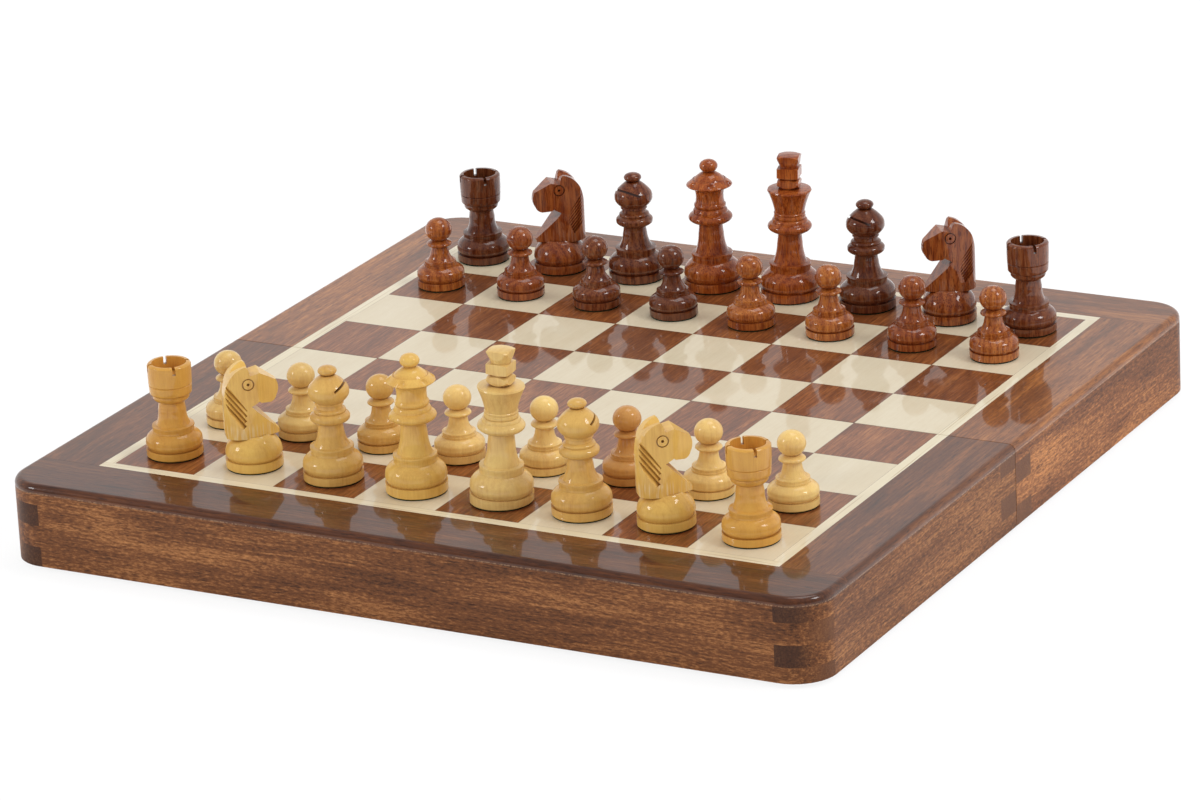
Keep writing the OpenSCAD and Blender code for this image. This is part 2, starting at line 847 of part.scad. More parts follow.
module knight(grooves) {
  low = knight_base - 0.5;
  tall = knight_height - low;
  half = knight_thickness / 2;
  fine = grooves > 5;
  eye_place = knight_length * (fine ? 0.01 : -0.06);
  eye_level = low + tall * (fine ? 0.785 : 0.755);
  foot = knight_foot / 2;
  rotate_extrude()
    polygon(walk([
      [0, felt_thickness],
      [foot - 0.3, felt_thickness],
      [foot, felt_thickness + 0.3],
      [foot, knight_base * 0.3],
      [foot - 0.7, knight_base * 0.305],
      [foot - 0.55, knight_base * 0.345],
      [foot - 0.1, knight_base * 0.52, 0.25],
      [foot - 1.4, knight_base * 0.78, 0.25],
      [foot - 2.9, knight_base * 0.92, 0.05],
      [foot - 3.9, knight_base, -0.1],
      [0, knight_base]
    ]));
  difference() {
    intersection() {
      translate([0, half + outside, low])
        rotate([90, 0, 0])
          linear_extrude(2 * (half + outside))
            polygon([for (p = knight_outline) [p[0] * knight_length, p[1] * tall]]);
      translate([-knight_length, 0, low])
        rotate([90, 0, 90])
          linear_extrude(2 * knight_length)
            polygon([
              [-half, 0], [half, 0], [half * 0.97, tall * 0.12], [half * 0.83, tall * 0.4],
              [half * 0.78, tall * 0.75], [half * 0.73, tall + outside],
              [-half * 0.73, tall + outside], [-half * 0.78, tall * 0.75],
              [-half * 0.83, tall * 0.4], [-half * 0.97, tall * 0.12]
            ]);
      linear_extrude(knight_height + outside)
        polygon(concat(
          [for (p = knight_plan) [p[0] * knight_length, p[1] * half]],
          [for (k = [len(knight_plan) - 2 : -1 : 0])
            [knight_plan[k][0] * knight_length, -knight_plan[k][1] * half]]
        ));
    }
    // The notch between the ears
    translate([-knight_length * 0.6, 0, low + tall * 0.878])
      rotate([90, 0, 90])
        linear_extrude(knight_length * 0.6)
          polygon([[0, 0], [half * 0.82, tall * 0.2], [-half * 0.82, tall * 0.2]]);
    for (side = [0, 1])
      mirror([0, side, 0]) {
        // The ring and the dot of the eye
        translate([eye_place, half * 0.79, eye_level])
          rotate([90, 0, 0])
            difference() {
              cylinder(h = 1.2, d = knight_eye, center = true);
              cylinder(h = 2, d = knight_eye * 0.8, center = true);
            }
        translate([eye_place, half * 0.79, eye_level])
          rotate([90, 0, 0])
            cylinder(h = 2.4, d = knight_eye * 0.24, center = true);
        for (k = [0 : grooves - 1])
          if (fine)
            mane_cut(low + tall * 0.725 - k * 1.45, 51 - k, 10.9 - k * 0.6, half * 0.58, mane_groove * 0.36);
          else
            mane_cut(low + tall * 0.765 - k * 2.2, 53, 11.8 - k * 0.45, half * 0.48, mane_groove * 0.5);
      }
  }
  felt_disc(knight_foot);
}

// Sets a man on a square, with the file and the rank counted from 0. Each man was turned and put
// down by hand, so a small lean, a little aside and a little further back are its own.
module stand(file, rank, shift, turn, aside, back) {
  translate([(file - 3.5) * square_side + aside, (rank - 3.5) * square_side + shift + back, surface])
    rotate([0, 0, turn])
      children();
}

module light_officer(file, turn = 0, aside = 0.4, back = 0) {
  color(light_wood)
    stand(file, 0, light_officer_shift, turn, aside, back)
      children();
}

module dark_officer(file, turn = 0, aside = -1.2, back = 0) {
  color(dark_wood)
    stand(file, 7, dark_officer_shift, turn, aside, back)
      children();
}

module light_pawn(file, aside = -0.5, back = 0, lean = 0) {
  color(light_wood)
    stand(file, 1, light_pawn_shift, 0, aside, back)
      pawn(lean);
}

module dark_pawn(file, aside = -0.5, back = 0, lean = 0) {
  color(dark_wood)
    stand(file, 6, dark_pawn_shift, 0, aside, back)
      pawn(lean);
}

// ---- Nodes ----

module front_border() { color(walnut) border_strips(); }
module front_pale_line() { color(maple) pale_line(); }
module front_dark_squares() { color(walnut) squares(true); }
module front_light_squares() { color(maple) squares(false); }
module front_panel() { color(ply) block([-inner_x, -inner_front, panel_low], [inner_x, -inner_seam, wall_top]); }
module front_outer_wall() { color(walnut) outer_wall_board(); }
module front_side_walls() { color(walnut) side_wall_boards(); }
module front_seam_wall() { color(walnut) seam_wall_board(); }
module front_lining() { color(felt_green) lining_sheet(); }
module front_tray() { color(felt_green) tray_frame(); }
module front_magnets() { color(steel) magnet_pair(); }
module front_hinge_leaves() { color(brass) both_hinges() hinge_leaf(0); }
module front_hinge_screws() { color(brass) both_hinges() screw_pair(); }
module rear_border() { color(walnut) rear() border_strips(); }
module rear_pale_line() { color(maple) rear() pale_line(); }
module rear_dark_squares() { color(walnut) rear() squares(true); }
module rear_light_squares() { color(maple) rear() squares(false); }
module rear_panel() { color(ply) rear() block([-inner_x, -inner_front, panel_low], [inner_x, -inner_seam, wall_top]); }
module rear_outer_wall() { color(walnut) rear() outer_wall_board(); }
module rear_side_walls() { color(walnut) rear() side_wall_boards(); }
module rear_seam_wall() { color(walnut) rear() seam_wall_board(); }
module rear_lining() { color(felt_green) rear() lining_sheet(); }
module rear_tray() { color(felt_green) rear() tray_frame(); }
module rear_magnets() { color(steel) rear() magnet_pair(); }
module rear_hinge_leaves() { color(brass) rear() both_hinges() hinge_leaf(1); }
module rear_hinge_screws() { color(brass) rear() both_hinges() screw_pair(); }
module hinge_pins() { color(steel) both_hinges() along_axis(hinge_length) circle(pin_radius); }

module light_rook_a() { light_officer(0, 0, -1) rook(); }
module light_knight_b() { light_officer(1, 40, -0.5) knight(4); }
module light_bishop_c() { light_officer(2, 120, -0.3, -0.8) bishop(); }
module light_queen_d() { light_officer(3, 36, 0.7, -0.9) queen(); }
module light_king_e() { light_officer(4, 5, 0.9, 0.7) king(2.7); }
module light_bishop_f() { light_officer(5, 138, 0.1, 0.4) bishop(); }
module light_knight_g() { light_officer(6, 40, -0.2, 1.1) knight(4); }
module light_rook_h() { light_officer(7, 0, 0.4, -0.4) rook(); }
module light_pawn_a() { light_pawn(0, 0.8, 2); }
module light_pawn_b() { light_pawn(1, -0.4, 0, 0.8); }
module light_pawn_c() { light_pawn(2, 0.2, -0.6); }
module light_pawn_d() { light_pawn(3, -1, -0.5); }
module light_pawn_e() { light_pawn(4, 0.2, 0, 1.8); }
module light_pawn_f() { light_pawn(5, -0.2, 1.4, 1.3); }
module light_pawn_g() { light_pawn(6, -0.4, 0, 1.6); }
module light_pawn_h() { light_pawn(7); }
module dark_rook_a() { dark_officer(0, 0, -2.4, -0.8) rook(); }
module dark_knight_b() { dark_officer(1, 220, -1.2, -0.8) knight(8); }
module dark_bishop_c() { dark_officer(2, -20) bishop(); }
module dark_queen_d() { dark_officer(3, 2, -1.2, 0.3) queen(); }
module dark_king_e() { dark_officer(4, 15, -1, 0.1) king(1.4); }
module dark_bishop_f() { dark_officer(5, -30) bishop(); }
module dark_knight_g() { dark_officer(6, 220, 0.9, -2.2) knight(8); }
module dark_rook_h() { dark_officer(7, 0, 1.3, -3.4) rook(); }
module dark_pawn_a() { dark_pawn(0, -2.2, -0.8); }
module dark_pawn_b() { dark_pawn(1, -0.8, 0.2, 1.6); }
module dark_pawn_c() { dark_pawn(2); }
module dark_pawn_d() { dark_pawn(3, -0.4, 0, -1.2); }
module dark_pawn_e() { dark_pawn(4); }
module dark_pawn_f() { dark_pawn(5); }
module dark_pawn_g() { dark_pawn(6, 0.6, -0.4, 1.6); }
module dark_pawn_h() { dark_pawn(7, 1.3, -0.8); }

front_border();
front_pale_line();
front_dark_squares();
front_light_squares();
front_panel();
front_outer_wall();
front_side_walls();
front_seam_wall();
front_lining();
front_tray();
front_magnets();
front_hinge_leaves();
front_hinge_screws();
rear_border();
rear_pale_line();
rear_dark_squares();
rear_light_squares();
rear_panel();
rear_outer_wall();
rear_side_walls();
rear_seam_wall();
rear_lining();
rear_tray();
rear_magnets();
rear_hinge_leaves();
rear_hinge_screws();
hinge_pins();
light_rook_a();
light_knight_b();
light_bishop_c();
light_queen_d();
light_king_e();
light_bishop_f();
light_knight_g();
light_rook_h();
light_pawn_a();
light_pawn_b();
light_pawn_c();
light_pawn_d();
light_pawn_e();
light_pawn_f();
light_pawn_g();
light_pawn_h();
dark_rook_a();
dark_knight_b();
dark_bishop_c();
dark_queen_d();
dark_king_e();
dark_bishop_f();
dark_knight_g();
dark_rook_h();
dark_pawn_a();
dark_pawn_b();
dark_pawn_c();
dark_pawn_d();
dark_pawn_e();
dark_pawn_f();
dark_pawn_g();
dark_pawn_h();
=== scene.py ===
import math
import random
import bmesh
import bpy
from mathutils import Matrix, Vector, noise


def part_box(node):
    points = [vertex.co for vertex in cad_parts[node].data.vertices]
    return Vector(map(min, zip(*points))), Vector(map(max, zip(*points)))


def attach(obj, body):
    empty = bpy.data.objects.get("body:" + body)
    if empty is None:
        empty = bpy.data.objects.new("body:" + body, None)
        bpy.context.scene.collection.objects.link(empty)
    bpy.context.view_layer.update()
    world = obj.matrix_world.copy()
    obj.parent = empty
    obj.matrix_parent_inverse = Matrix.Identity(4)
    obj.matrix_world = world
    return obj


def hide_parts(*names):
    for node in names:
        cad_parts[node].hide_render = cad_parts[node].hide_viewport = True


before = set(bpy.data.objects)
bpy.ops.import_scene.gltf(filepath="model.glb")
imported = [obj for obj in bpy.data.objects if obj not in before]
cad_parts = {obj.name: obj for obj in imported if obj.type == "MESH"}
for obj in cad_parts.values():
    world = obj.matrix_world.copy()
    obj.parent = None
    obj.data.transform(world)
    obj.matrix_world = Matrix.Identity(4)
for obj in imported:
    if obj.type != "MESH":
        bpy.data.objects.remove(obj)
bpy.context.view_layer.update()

print("solids loaded:", len(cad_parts))

mm = 0.001

# Sizes that the woodwork shares, in millimetres as in the part's source
board = {
    "square": 31.0,
    "field": 124.0,  # half the width of the 64 squares
    "line": 128.0,  # outer side of the pale line
    "surface": 30.6,
    "topThickness": 3.0,
}


def tint(red, green, blue):
    # 0 to 255 as seen on a screen, to the linear colour that shaders use
    def linear(v):
        v = v / 255
        return v / 12.92 if v <= 0.04045 else ((v + 0.055) / 1.055) ** 2.4
    return (linear(red), linear(green), linear(blue), 1.0)


class Wire:
    # One socket of a node tree. Sums and products of wires add their Math nodes.
    def __init__(self, tree, socket=None):
        self.tree = tree
        self.socket = socket

    def node(self, kind, settings=None, inputs=None, output=0):
        made = self.tree.nodes.new(kind)
        for name, value in (settings or {}).items():
            if name == "stops":
                ramp = made.color_ramp
                while len(ramp.elements) > 1:
                    ramp.elements.remove(ramp.elements[-1])
                ramp.elements[0].position = value[0][0]
                ramp.elements[0].color = value[0][1]
                for place, colour in value[1:]:
                    ramp.elements.new(place).color = colour
            else:
                setattr(made, name, value)
        for name, value in (inputs or {}).items():
            if isinstance(value, Wire):
                self.tree.links.new(value.socket, made.inputs[name])
            else:
                made.inputs[name].default_value = value
        return Wire(self.tree, made.outputs[output])

    def other(self, output):
        return Wire(self.tree, self.socket.node.outputs[output])

    def math(self, operation, first, second=0.0):
        return self.node("ShaderNodeMath", {"operation": operation}, {0: first, 1: second})

    def __add__(self, other):
        return self.math("ADD", self, other)

    def __radd__(self, other):
        return self.math("ADD", other, self)

    def __sub__(self, other):
        return self.math("SUBTRACT", self, other)

    def __rsub__(self, other):
        return self.math("SUBTRACT", other, self)

    def __mul__(self, other):
        return self.math("MULTIPLY", self, other)

    def __rmul__(self, other):
        return self.math("MULTIPLY", other, self)

    def __pow__(self, other):
        return self.math("POWER", self, other)

    def floor(self):
        return self.math("FLOOR", self)

    def abs(self):
        return self.math("ABSOLUTE", self)

    def sine(self):
        return self.math("SINE", self)

    def over(self, limit):
        return self.math("GREATER_THAN", self, limit)

    def atMost(self, other):
        return self.math("MINIMUM", self, other)

    def atLeast(self, other):
        return self.math("MAXIMUM", self, other)

    def fade(self, low, high):
        # 0 below low, 1 above high, smooth between them
        return self.node("ShaderNodeMapRange", {"interpolation_type": "SMOOTHSTEP"},
                         {0: self, 1: low, 2: high, 3: 0.0, 4: 1.0})

    def parts(self):
        split = self.node("ShaderNodeSeparateXYZ", inputs={0: self})
        return split, split.other(1), split.other(2)

    def vector(self, x, y, z):
        return self.node("ShaderNodeCombineXYZ", inputs={0: x, 1: y, 2: z})

    def shifted(self, by):
        return self.node("ShaderNodeVectorMath", {"operation": "ADD"}, {0: self, 1: by})

    def scaled(self, by):
        return self.node("ShaderNodeVectorMath", {"operation": "MULTIPLY"}, {0: self, 1: by})

    def noise(self, scale=1.0, detail=2.0, roughness=0.5, distortion=0.0):
        return self.node("ShaderNodeTexNoise", inputs={
            "Vector": self, "Scale": scale, "Detail": detail,
            "Roughness": roughness, "Distortion": distortion})

    def colours(self, *stops):
        return self.node("ShaderNodeValToRGB", {"stops": stops}, {0: self})

    def blend(self, share, other, mode="MIX"):
        return self.node("ShaderNodeMix", {"data_type": "RGBA", "blend_type": mode},
                         {0: share, 6: self, 7: other}, output=2)

    def between(self, share, other):
        return self.node("ShaderNodeMix", {"data_type": "VECTOR"}, {0: share, 4: self, 5: other}, output=1)


def newFinish(name):
    # An empty material, its Principled shader, and the place on the object in millimetres
    finish = bpy.data.materials.new(name)
    finish.use_nodes = True
    tree = finish.node_tree
    shader = tree.nodes["Principled BSDF"]
    place = Wire(tree).node("ShaderNodeTexCoord", output="Object").scaled((1 / mm,) * 3)
    return finish, shader, place


def plug(shader, **values):
    # Joins wires or numbers to a shader's sockets, named with underscores for spaces
    for name, value in values.items():
        socket = shader.inputs[name.replace("_", " ")]
        if isinstance(value, Wire):
            value.tree.links.new(value.socket, socket)
        else:
            socket.default_value = value


def bumped(height, distance, strength=1.0):
    return height.node("ShaderNodeBump", inputs={
        "Height": height, "Distance": distance, "Strength": strength})


# Camera, light and floor

view = {
    "place": (0.943488, -1.719933, 0.735218),
    "azimuth": 28.864,
    "elevation": 19.848,
    "roll": -2.821,
    "lens": 181.2,
    "frameWidth": 36.0,
    "reach": 50,
}


def makeCamera():
    az, el, roll = (math.radians(view[k]) for k in ("azimuth", "elevation", "roll"))
    ahead = Vector((-math.sin(az) * math.cos(el), math.cos(az) * math.cos(el), -math.sin(el)))
    level = ahead.cross(Vector((0, 0, 1))).normalized()
    rise = level.cross(ahead)
    right = math.cos(roll) * level + math.sin(roll) * rise
    up = -math.sin(roll) * level + math.cos(roll) * rise
    lens = bpy.data.cameras.new("camera")
    lens.lens = view["lens"]
    lens.sensor_width = view["frameWidth"]
    lens.clip_end = view["reach"]
    camera = bpy.data.objects.new("camera", lens)
    turn = Matrix((right, up, -ahead)).transposed().to_4x4()
    camera.matrix_world = Matrix.Translation(view["place"]) @ turn
    bpy.context.scene.collection.objects.link(camera)
    bpy.context.scene.camera = camera


studio = {
    "fill": 0.88,  # level of the surrounding white on the object
    "white": (1.0, 1.0, 1.0, 1),
    "room": (0.24, 0.24, 0.26, 1),  # what gloss shows of the side where the camera stands
    "above": (0.46, 0.47, 0.49, 1),
    "slant": 0.3,  # how far the border of the room turns from the x axis
    "roomEnds": (-0.5, 0.45),
    "aboveStarts": (0.25, 0.85),
    "aim": (0.0, 0.0, 0.03),
    "lamps": [  # name, place, width, power
        ("rightBox", (1.28, 0.1, 1.4), 0.5, 10),
        ("leftBox", (-1.27, -1.14, 0.87), 0.42, 7),
        ("topBox", (0.1, 0.5, 1.9), 0.9, 8),
    ],
}


def shownTo(ray):
    # 1 for the rays that show the background: the camera's, and those in gloss and glass
    mirrored = ray.other("Is Glossy Ray").atLeast(ray.other("Is Transmission Ray"))
    return ray.other("Is Camera Ray").atLeast(mirrored)


def lightStudio():
    world = bpy.data.worlds.new("studio")
    bpy.context.scene.world = world
    world.use_nodes = True
    tree = world.node_tree
    sky = Wire(tree)
    across, along, height = sky.node("ShaderNodeTexCoord", output="Generated").parts()
    ray = sky.node("ShaderNodeLightPath")
    far = (along - across * studio["slant"]).fade(*studio["roomEnds"])
    colour = far.colours((0, studio["room"]), (1, studio["white"]))
    colour = colour.blend(1 - ray.other("Is Glossy Ray"), studio["white"])
    colour = colour.blend(height.fade(*studio["aboveStarts"]), studio["above"])
    colour = colour.blend(ray.other("Is Camera Ray"), studio["white"])
    level = shownTo(ray) * (1 - studio["fill"]) + studio["fill"]
    ground = tree.nodes["Background"]
    tree.links.new(colour.socket, ground.inputs["Color"])
    tree.links.new(level.socket, ground.inputs["Strength"])
    for name, place, width, power in studio["lamps"]:
        lamp = bpy.data.lights.new(name, "AREA")
        lamp.shape = "SQUARE"
        lamp.size = width
        lamp.energy = power
        holder = bpy.data.objects.new(name, lamp)
        holder.location = place
        aim = Vector(studio["aim"]) - Vector(place)
        holder.rotation_euler = aim.to_track_quat("-Z", "Y").to_euler()
        bpy.context.scene.collection.objects.link(holder)


paper = {
    "reach": 6,
    "cuts": 8,
    "grey": (0.9, 0.9, 0.9, 1),
    "roughness": 0.9,
    "glow": 0.35,  # lifts the paper to white where it shows, and lights nothing
    "seeThrough": 0.8,  # so that the half that folds down below its level still shows
}


def layFloor():
    mesh = bpy.data.meshes.new("floor")
    form = bmesh.new()
    bmesh.ops.create_grid(form, x_segments=paper["cuts"], y_segments=paper["cuts"], size=paper["reach"])
    form.to_mesh(mesh)
    form.free()
    floor = bpy.data.objects.new("floor", mesh)
    bpy.context.scene.collection.objects.link(floor)
    finish, shader, place = newFinish("white paper floor")
    plug(shader, Base_Color=paper["grey"], Roughness=paper["roughness"], Specular_IOR_Level=0.0)
    ray = place.node("ShaderNodeLightPath")
    glow = place.node("ShaderNodeEmission", inputs={"Color": (1, 1, 1, 1), "Strength": paper["glow"]})
    dark = place.node("ShaderNodeEmission", inputs={"Color": (0, 0, 0, 1), "Strength": 0.0})
    lift = place.node("ShaderNodeMixShader", inputs={0: shownTo(ray), 1: dark, 2: glow})
    tree = finish.node_tree
    sheet = place.node("ShaderNodeAddShader", inputs={0: Wire(tree, shader.outputs[0]), 1: lift})
    clear = place.node("ShaderNodeBsdfTransparent", inputs={"Color": (1, 1, 1, 1)})
    share = ray.other("Is Camera Ray") * paper["seeThrough"]
    sheet = place.node("ShaderNodeMixShader", inputs={0: share, 1: sheet, 2: clear})
    tree.links.new(sheet.socket, tree.nodes["Material Output"].inputs["Surface"])
    mesh.materials.append(finish)


makeCamera()
lightStudio()
layFloor()
print("camera, light and floor set")


# Woods of the box. "relief" is how far the grain stands up, in metres.

lacquer = {"Roughness": 0.45, "Coat_Weight": 0.6, "Coat_Roughness": 0.045, "Coat_IOR": 1.5,
           "Specular_IOR_Level": 0.15}

# How many times longer than wide each mark is, along the grain
longer = {"figure": 8, "streak": 22, "pores": 11}

veneer = {
    "dark": tint(48, 23, 11),
    "middle": tint(95, 51, 24),
    "light": tint(142, 86, 43),
    "pore": tint(36, 16, 8),
    "stripe": 0.1, "figureShare": 0.45,
    "streak": 1.3, "streakShare": 0.35,
    "mottle": 0.9, "mottleLength": 4, "mottleShare": 0.2,
    "contrast": 1.9,
    "pores": 1.9, "poreFrom": 0.57, "poreShare": 0.5,
    "relief": 0.00004,
    # Each strip is a board of its own: how its colour differs. The strips of the rear half are a lighter
    # board. The side strips are lighter and the front strip darker, partly by their own tone and partly as
    # painted reflection of the lacquer
    "rear": (1.85, 2.05, 2.0, 1),
    "sides": (1.12, 1.12, 1.02, 1),
    "front": (0.84, 0.8, 0.74, 1),
    # Its edge shows as a thin pale line at the foot of the rounded edge
    "edge": tint(180, 138, 98), "edgeShare": 0.55,
    "edgeFoot": (-0.1, 0.12), "edgeHead": (0.38, 0.6),  # heights over the foot of the strip
    "edgeWander": 0.5, "edgeBreaks": (0.4, 0.62),
}


def grainPlace(place, along, stretch):
    # Squeezes one axis so that grain runs along it
    squeeze = [1.0, 1.0, 1.0]
    squeeze["xyz".index(along)] = 1 / stretch
    return place.scaled(tuple(squeeze))


def runOf(place, along, stretch):
    # The place squeezed along the grain, which is one axis or a choice between two
    if isinstance(along, str):
        return grainPlace(place, along, stretch)
    share, first, second = along
    return grainPlace(place, first, stretch).between(share, grainPlace(place, second, stretch))


def figuredWood(place, along, wood, seed):
    # Colour and height of an open-pored wood with its grain along one axis or a choice of two
    def run(stretch):
        return runOf(place, along, stretch).shifted((seed * 37.1, seed * 19.3, seed * 53.7))
    figure = run(longer["figure"]).noise(wood["stripe"], 3, 0.55, 0.8)
    streak = run(longer["streak"]).noise(wood["streak"], 3, 0.6, 0.2)
    mottle = run(wood["mottleLength"]).noise(wood["mottle"], 3, 0.7)
    tone = figure * wood["figureShare"] + streak * wood["streakShare"] + mottle * wood["mottleShare"]
    tone = (tone - 0.5) * wood["contrast"] + 0.5
    colour = tone.colours((0.15, wood["dark"]), (0.5, wood["middle"]), (0.85, wood["light"]))
    pores = run(longer["pores"]).noise(wood["pores"], 2, 0.6, 0.15)
    pores = pores.fade(wood["poreFrom"], wood["poreFrom"] + 0.09) * wood["poreShare"]
    colour = colour.blend(pores, wood["pore"])
    return colour, mottle * 0.4 + streak * 0.2 + (1 - pores) * 0.5


def lacqueredBorder():
    finish, shader, place = newFinish("lacquered dark border")
    y, z = place.parts()[1:]
    acrossEnds = y.abs().over(board["line"])  # the long strips at the front and back
    colour, height = figuredWood(place, (acrossEnds, "y", "x"), veneer, 1)
    # Side strips lighter and front strip darker: partly their own tone, partly painted reflection of the
    # lacquer
    colour = colour.blend(1 - acrossEnds, veneer["sides"], "MULTIPLY")
    colour = colour.blend(y.over(0.0), veneer["rear"], "MULTIPLY")
    colour = colour.blend((0 - y).over(board["line"]), veneer["front"], "MULTIPLY")
    ragged = place.noise(1.1, 3, 0.7)
    foot = board["surface"] - board["topThickness"]
    low, high = ([foot + over for over in veneer[side]] for side in ("edgeFoot", "edgeHead"))
    edge = z.fade(*low) * (1 - (z + (ragged - 0.5) * veneer["edgeWander"]).fade(*high))
    colour = colour.blend(edge * (ragged.fade(*veneer["edgeBreaks"]) * veneer["edgeShare"]), veneer["edge"])
    plug(shader, Base_Color=colour, Normal=bumped(height, veneer["relief"]), **lacquer)
    return finish


def squareSpot(place):
    # How far across its square a place lies, and a random value and shift for that square
    cell = place.scaled((1 / board["square"],) * 3)
    x, y = cell.parts()[:2]
    number = cell.vector(x.floor(), y.floor(), 0.0)
    dice = number.node("ShaderNodeTexWhiteNoise", inputs={"Vector": number})
    return x - x.floor(), y - y.floor(), dice, dice.other("Color")


def jointLine(u, v):
    # 1 in the hair-thin glue line around a square
    edge = u.atMost(1 - u).atMost(v.atMost(1 - v))
    return 1 - edge.fade(0.002, 0.008)


walnutSquares = {
    "dark": tint(76, 36, 15),
    "middle": tint(130, 72, 34),
    "light": tint(186, 118, 64),
    "pore": tint(56, 26, 12),
    "stripe": 0.12, "figureShare": 0.35,
    "streak": 1.5, "streakShare": 0.45,
    "mottle": 1.1, "mottleLength": 4, "mottleShare": 0.2,
    "contrast": 1.9,
    "pores": 1.8, "poreFrom": 0.57, "poreShare": 0.45,
    "relief": 0.00004,
    "dulled": tint(94, 58, 38), "dulledShare": 0.3,
    "glue": tint(40, 22, 16), "glueShare": 0.6,
}

pale = {
    "dark": tint(212, 194, 160),
    "middle": tint(224, 210, 180),
    "light": tint(234, 223, 198),
    "pore": tint(204, 182, 146),
    "stripe": 0.06, "figureShare": 0.5,
    "streak": 1.1, "streakShare": 0.3,
    "mottle": 0.35, "mottleLength": 2, "mottleShare": 0.2,
    "contrast": 1.2,
    "pores": 1.6, "poreFrom": 0.6, "poreShare": 0.16,
    "relief": 0.00002,
    "dulled": tint(228, 212, 182), "dulledShare": 0.3,
    "glue": tint(96, 66, 44), "glueShare": 0.45,
}


def squaresFinish(name, wood, seed):
    # Each square is cut from another spot of the wood and is dulled by its own share
    finish, shader, place = newFinish(name)
    u, v, dice, away = squareSpot(place)
    moved = place.shifted(away.scaled((900, 900, 900)))
    colour, height = figuredWood(moved, "y", wood, seed)
    colour = colour.blend(dice * wood["dulledShare"], wood["dulled"])
    colour = colour.blend(jointLine(u, v) * wood["glueShare"], wood["glue"])
    plug(shader, Base_Color=colour, Normal=bumped(height, wood["relief"]), **lacquer)
    return finish


inlay = {
    "low": tint(226, 212, 178),
    "high": tint(238, 226, 198),
    "longer": 60,
    "streak": tint(184, 156, 112), "streakShare": 0.55,
    "relief": 0.00002,
}


def paleInlay():
    finish, shader, place = newFinish("lacquered pale line")
    acrossEnds = place.parts()[1].abs().over(board["field"])
    run = runOf(place, (acrossEnds, "y", "x"), inlay["longer"])
    streak = run.noise(1.3, 2, 0.5)
    soft = run.noise(0.3, 2, 0.5)
    colour = soft.colours((0.3, inlay["low"]), (0.7, inlay["high"]))
    colour = colour.blend(streak.fade(0.55, 0.68) * inlay["streakShare"], inlay["streak"])
    plug(shader, Base_Color=colour, Normal=bumped(streak, inlay["relief"]), **lacquer)
    return finish


wallWood = {
    "dark": tint(58, 31, 17),
    "middle": tint(123, 75, 42),
    "light": tint(194, 133, 80),
    "pore": tint(50, 27, 16),
    "stripe": 0.07, "figureShare": 0.3,
    "streak": 1.0, "streakShare": 0.25,
    "mottle": 1.5, "mottleLength": 3.5, "mottleShare": 0.45,
    "contrast": 2.4,
    "pores": 1.5, "poreFrom": 0.58, "poreShare": 0.55,
    "relief": 0.0001,
    "rear": (1.3, 1.26, 1.2, 1),
    # End grain: dark where it faces front or back, subtle at the sides
    "end": {"x": (tint(90, 54, 34), tint(124, 80, 50)), "y": (tint(46, 25, 16), tint(72, 42, 28))},
    "endShare": 0.85,
}


def wallFinish(name, along, seed):
    # Solid wood: long grain on the faces, end grain where a board's end shows
    finish, shader, place = newFinish(name)
    colour, height = figuredWood(place, along, wallWood, seed)
    y = place.parts()[1]
    colour = colour.blend(y.fade(0.0, 0.2), wallWood["rear"], "MULTIPLY")
    facing = place.node("ShaderNodeTexCoord", output="Normal").parts()["xyz".index(along)].abs()
    ends = facing.fade(0.55, 0.95)
    speck = place.noise(2.0, 3, 0.6)
    low, high = wallWood["end"][along]
    colour = colour.blend(ends * wallWood["endShare"], speck.colours((0.35, low), (0.68, high)))
    plug(shader, Base_Color=colour, Roughness=0.5, Coat_Weight=0.12, Coat_Roughness=0.3,
         Specular_IOR_Level=0.15, Normal=bumped(height, wallWood["relief"]))
    return finish


ply = {
    "low": tint(176, 140, 96),
    "high": tint(206, 174, 128),
    "longer": 20,
    "layer": tint(150, 112, 74), "layerShare": 0.2, "layerThickness": 1.0,
    "relief": 0.0001,
}


def plyFinish():
    finish, shader, place = newFinish("raw plywood")
    z = place.parts()[2]
    grain = grainPlace(place, "x", ply["longer"]).noise(0.9, 3, 0.6)
    colour = grain.colours((0.3, ply["low"]), (0.7, ply["high"]))
    layer = z.math("PINGPONG", z, ply["layerThickness"]).fade(0.4, 0.6)
    colour = colour.blend(layer * ply["layerShare"], ply["layer"])
    plug(shader, Base_Color=colour, Roughness=0.7, Normal=bumped(grain, ply["relief"]))
    return finish


def dress(names, finish):
    for name in names:
        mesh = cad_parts[name].data
        mesh.materials.clear()
        mesh.materials.append(finish)
        for face in mesh.polygons:
            face.material_index = 0


def dressHalves(finish, *names):
    dress([half + "_" + name for name in names for half in ("front", "rear")], finish)


dressHalves(lacqueredBorder(), "border")
dressHalves(squaresFinish("lacquered dark squares", walnutSquares, 2), "dark_squares")
dressHalves(squaresFinish("lacquered pale squares", pale, 3), "light_squares")
dressHalves(paleInlay(), "pale_line")
dressHalves(wallFinish("outer wall wood", "x", 4), "outer_wall")
dressHalves(wallFinish("side wall wood", "y", 5), "side_walls")
dressHalves(wallFinish("seam wall wood", "x", 6), "seam_wall")
dressHalves(plyFinish(), "panel")
print("box woods done")


# Hinges, screws, pins and magnets

metals = {  # colour, stain, roughness where it is smoothest
    "satin brass": (tint(208, 168, 96), tint(158, 118, 62), 0.2),
    "pin steel": (tint(176, 178, 182), tint(128, 128, 132), 0.22),
    "nickel plate": (tint(206, 206, 208), tint(168, 168, 172), 0.12),
}


def metalFinish(name):
    colour, stain, roughness = metals[name]
    finish, shader, place = newFinish(name)
    brushed = grainPlace(place, "x", 40).noise(3.0, 3, 0.6)
    cloud = place.noise(0.25, 3, 0.6)
    shade = cloud.fade(0.35, 0.7).colours((0, stain), (1, colour))
    plug(shader, Base_Color=shade, Metallic=1.0, Roughness=brushed * 0.16 + cloud * 0.12 + roughness,
         Normal=bumped(brushed, 0.00003))
    return finish


